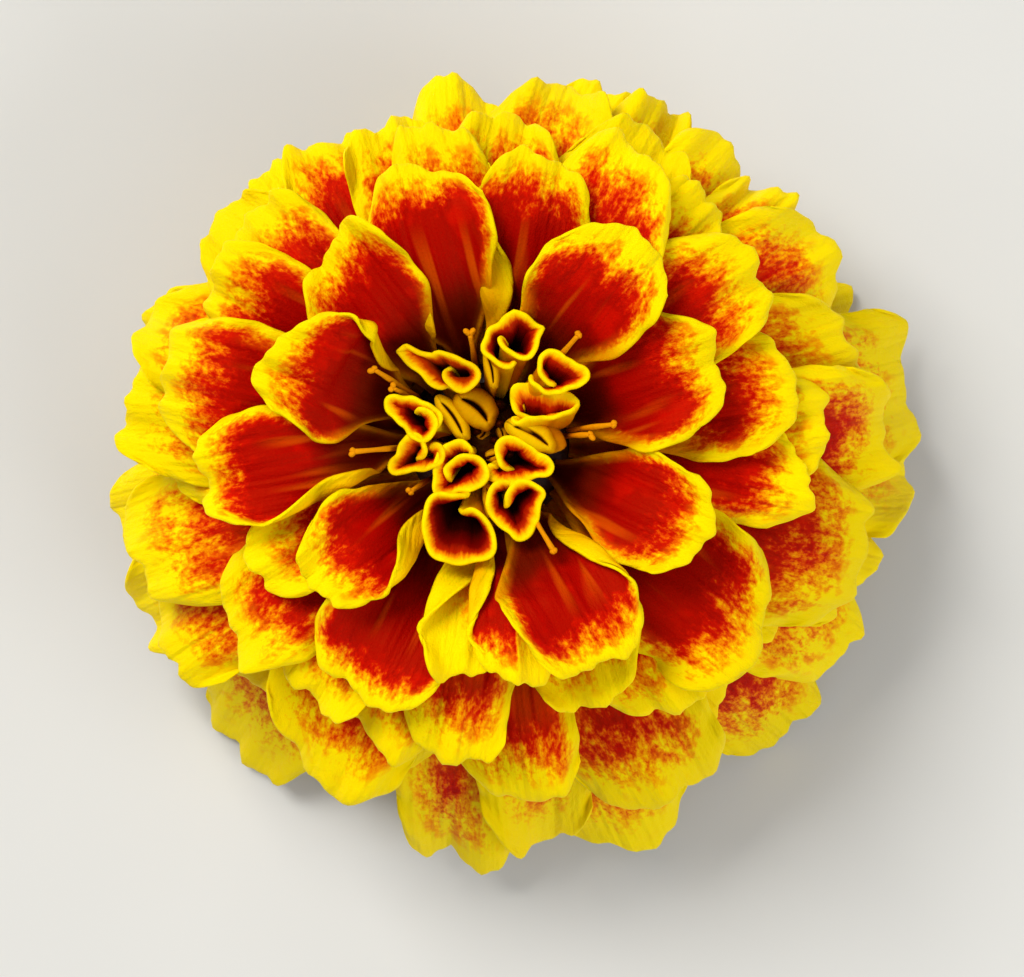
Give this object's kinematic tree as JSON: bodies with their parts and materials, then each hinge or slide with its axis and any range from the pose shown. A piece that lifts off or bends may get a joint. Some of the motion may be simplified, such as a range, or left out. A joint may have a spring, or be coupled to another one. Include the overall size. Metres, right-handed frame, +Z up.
{
  "type": "double marigold flower head",
  "caption": "Double French marigold flower head, red petals edged in yellow in tight layers round rolled young florets, green cup below, standing face up",
  "frame": {"origin": "on the surface the head stands on, under the middle of its outline seen from above", "axes": "+Z up, out of the flower's face; +X to the right and +Y to the top of the head as its face is seen in the picture"},
  "size_m": [0.0598, 0.0574, 0.0309],
  "materials": {
    "petal": "velvety, deep red with a bright yellow margin",
    "young_floret": "satin, golden yellow outside and dark red inside",
    "green_bract": "satin leaf green"
  },
  "bodies": {
    "root": {"ray_florets": "petal", "centre_florets": "young_floret", "involucre_and_stalk": "green_bract"}
  },
  "joints": []
}
